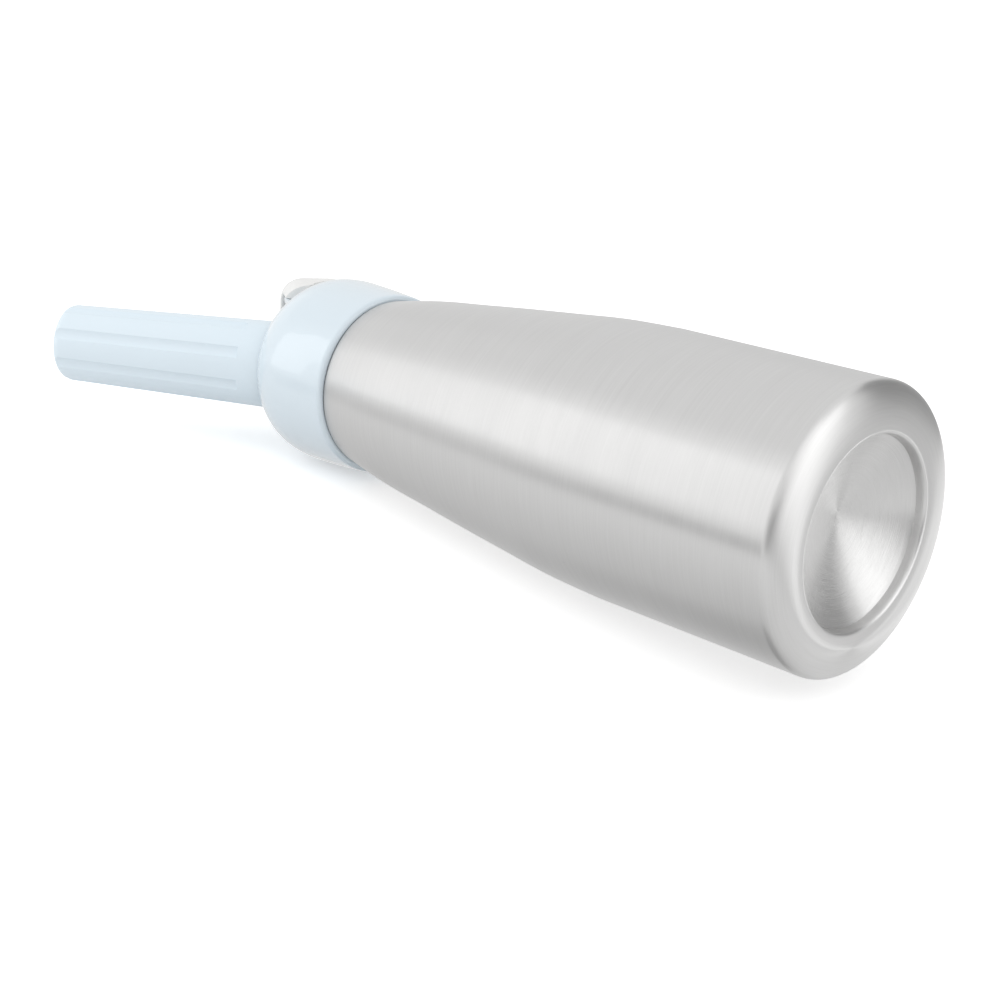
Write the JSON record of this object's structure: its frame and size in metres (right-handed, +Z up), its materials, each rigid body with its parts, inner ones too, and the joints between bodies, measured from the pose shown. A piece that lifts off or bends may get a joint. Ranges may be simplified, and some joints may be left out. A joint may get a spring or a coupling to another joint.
{
  "type": "whipped cream dispenser",
  "caption": "Lying cream whipper: tapered metal bottle with concave base, screw-on rounded head, fluted charger holder, squeeze lever, poppet valve and star nozzle.",
  "frame": {"origin": "centre of the footprint on the surface that the dispenser lies on", "axes": "+X towards the bottle's base, +Y towards the lever's side, +Z up; the bottle's axis lies in the XZ plane and dips a few degrees towards the head"},
  "size_m": [0.3088, 0.1296, 0.085],
  "materials": {
    "bottle_metal": "fine brushed",
    "bright_metal": "polished",
    "blue_plastic": "gloss",
    "white_plastic": "satin",
    "seal_rubber": "matte"
  },
  "bodies": {
    "bottle": {"bottle": "bottle_metal"},
    "head": {"head_shell": "blue_plastic", "thread_insert": "bright_metal", "head_gasket": "seal_rubber", "charger_stud": "bright_metal", "piercing_pin": "bright_metal", "pin_seal": "seal_rubber", "one_way_valve": "seal_rubber", "valve_body": "bright_metal", "valve_body_ring": "seal_rubber", "pivot_pin": "bright_metal"},
    "holder": {"charger_holder": "blue_plastic", "holder_sleeve": "bright_metal"},
    "stem": {"valve_stem": "bright_metal", "valve_washer": "seal_rubber", "stem_ring": "seal_rubber", "nozzle_adaptor": "bright_metal"},
    "tip": {"decorating_tip": "white_plastic", "tip_seal": "seal_rubber"},
    "lever": {"lever": "white_plastic", "lever_spring": "bright_metal"}
  },
  "joints": [
    {"name": "head_unscrews", "type": "slide", "parent": "bottle", "child": "head", "axis": [-0.9976, 0, -0.0696], "range_m": [0, 0.03]},
    {"name": "holder_unscrews", "type": "slide", "parent": "head", "child": "holder", "axis": [-0.8515, -0.521, -0.0594], "range_m": [0, 0.03]},
    {"name": "lever_squeeze", "type": "hinge", "parent": "head", "child": "lever", "pos_m": [-0.10685, 0.01814, 0.02728], "axis": [0.0696, 0, -0.9976], "range_deg": [0, 12], "stiffness_Nm_per_rad": 0.5, "springref_deg": -20.05},
    {"name": "valve_stroke", "type": "slide", "parent": "head", "child": "stem", "axis": [0.8515, -0.521, 0.0594], "range_m": [0, 0.003]},
    {"name": "tip_unscrews", "type": "slide", "parent": "stem", "child": "tip", "axis": [-0.8515, 0.521, -0.0594], "range_m": [0, 0.02]}
  ],
  "couplings": [
    {"joint": "valve_stroke", "follows": "lever_squeeze", "m_per_rad": 0.0135}
  ]
}
